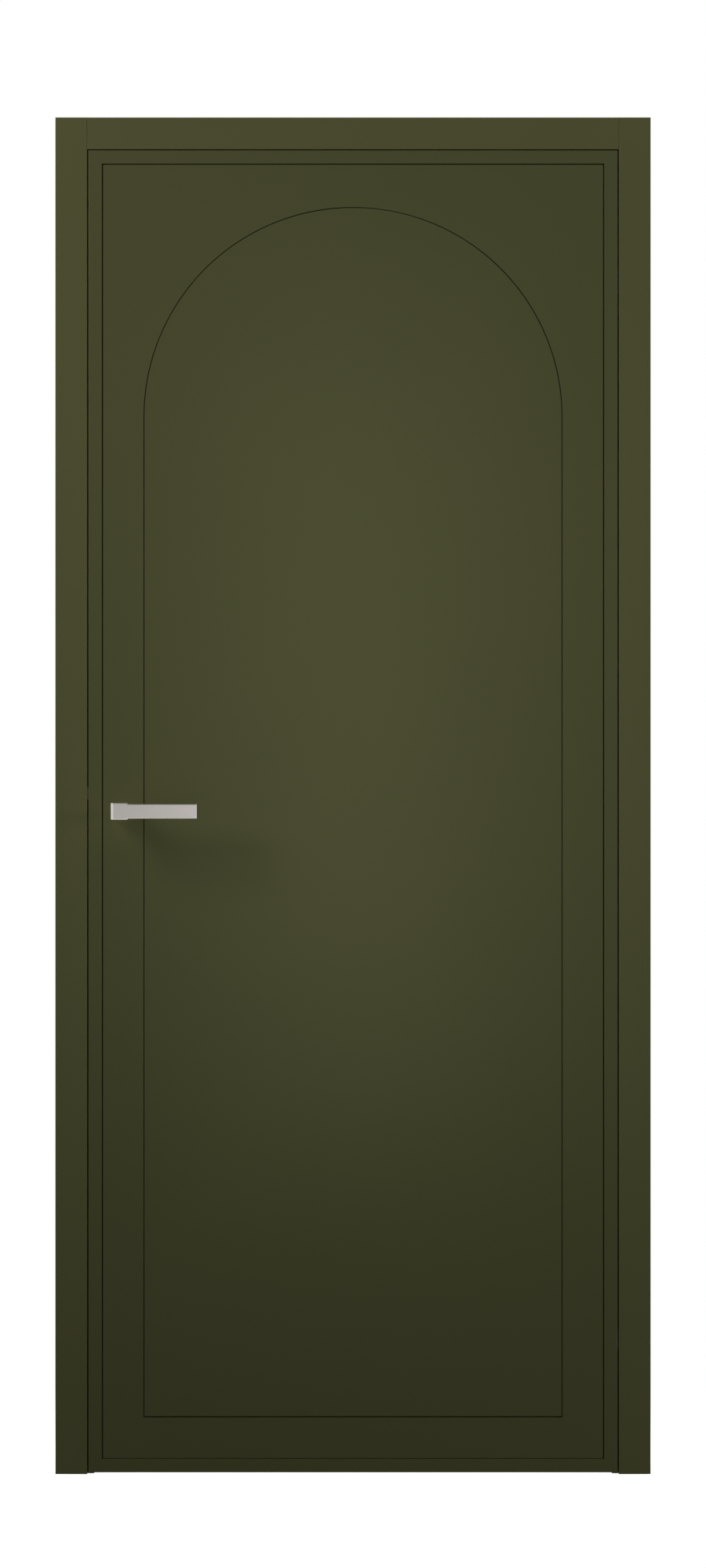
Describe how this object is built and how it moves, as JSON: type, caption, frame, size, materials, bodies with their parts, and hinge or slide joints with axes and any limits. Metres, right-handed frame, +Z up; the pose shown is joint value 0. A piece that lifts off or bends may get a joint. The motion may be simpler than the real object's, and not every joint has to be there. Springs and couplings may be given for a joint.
{
  "type": "interior door with frame",
  "caption": "Flush interior door leaf with a milled arch line, hung in its rebated frame on concealed hinges, with a square lever latch.",
  "frame": {"origin": "on the floor, under the middle of the frame's width and of the part's whole depth", "axes": "+X to the right as seen from the front, +Y away from the viewer, +Z up"},
  "size_m": [0.9, 0.162, 2.052],
  "materials": {
    "olive_enamel": "satin",
    "core_timber": "matte",
    "satin_nickel": "satin",
    "hinge_coating": "satin",
    "zinc_steel": "satin",
    "black_rubber": "matte",
    "black_plastic": "matte"
  },
  "bodies": {
    "frame": {"lock_jamb": "olive_enamel", "hinge_jamb": "olive_enamel", "head_jamb": "olive_enamel", "front_casing_lock_side": "olive_enamel", "front_casing_hinge_side": "olive_enamel", "front_casing_head": "olive_enamel", "rear_casing_lock_side": "olive_enamel", "rear_casing_hinge_side": "olive_enamel", "rear_casing_head": "olive_enamel", "lock_side_seal": "black_rubber", "hinge_side_seal": "black_rubber", "head_seal": "black_rubber", "strike_plate": "satin_nickel", "strike_box": "black_plastic", "strike_screws": "zinc_steel", "frame_corner_screws": "zinc_steel", "lower_hinge_frame_body": "hinge_coating", "upper_hinge_frame_body": "hinge_coating", "lower_hinge_frame_pin": "zinc_steel", "upper_hinge_frame_pin": "zinc_steel", "hinge_frame_screws": "zinc_steel", "hinge_frame_adjusters": "zinc_steel"},
    "leaf": {"front_skin": "olive_enamel", "rear_skin": "olive_enamel", "lock_stile": "olive_enamel", "hinge_stile": "olive_enamel", "top_rail": "olive_enamel", "bottom_rail": "olive_enamel", "lock_block": "core_timber", "leaf_core": "core_timber", "lock_case": "zinc_steel", "lock_case_cover": "zinc_steel", "lock_faceplate": "satin_nickel", "faceplate_screws": "zinc_steel", "front_rose": "satin_nickel", "rear_rose": "satin_nickel", "rose_screws": "zinc_steel", "lower_hinge_leaf_body": "hinge_coating", "upper_hinge_leaf_body": "hinge_coating", "lower_hinge_leaf_pin": "zinc_steel", "upper_hinge_leaf_pin": "zinc_steel", "hinge_leaf_screws": "zinc_steel", "hinge_leaf_adjusters": "zinc_steel"},
    "handle": {"front_lever": "satin_nickel", "rear_lever": "satin_nickel", "spindle": "zinc_steel", "follower": "zinc_steel", "lever_grub_screws": "zinc_steel"},
    "latch": {"latch_bolt": "satin_nickel"},
    "frame_arms": {"lower_hinge_frame_arm": "hinge_coating", "upper_hinge_frame_arm": "hinge_coating", "lower_hinge_centre_pin": "zinc_steel", "upper_hinge_centre_pin": "zinc_steel"},
    "leaf_arms": {"lower_hinge_leaf_arm": "hinge_coating", "upper_hinge_leaf_arm": "hinge_coating"}
  },
  "joints": [
    {"name": "leaf_swing", "type": "hinge", "parent": "frame", "child": "leaf", "pos_m": [0.4009, -0.031, 1.0025], "axis": [0, 0, 1], "range_deg": [0, 110]},
    {"name": "frame_arm_swing", "type": "hinge", "parent": "frame", "child": "frame_arms", "pos_m": [0.4064, -0.019, 1.0025], "axis": [0, 0, 1], "range_deg": [0, 110]},
    {"name": "leaf_arm_swing", "type": "hinge", "parent": "leaf", "child": "leaf_arms", "pos_m": [0.3954, -0.019, 1.0025], "axis": [0, 0, 1], "range_deg": [-110, 0]},
    {"name": "handle_turn", "type": "hinge", "parent": "leaf", "child": "handle", "pos_m": [-0.353, -0.009, 1.0025], "axis": [0, 1, 0], "range_deg": [0, 40], "stiffness_Nm_per_rad": 1.5, "springref_deg": -34.38},
    {"name": "latch_slide", "type": "slide", "parent": "leaf", "child": "latch", "axis": [1, 0, 0], "range_m": [0, 0.00998]}
  ],
  "couplings": [
    {"joint": "frame_arm_swing", "follows": "leaf_swing", "ratio": 1},
    {"joint": "leaf_arm_swing", "follows": "leaf_swing", "ratio": -1},
    {"joint": "latch_slide", "follows": "handle_turn", "m_per_rad": 0.0143}
  ]
}
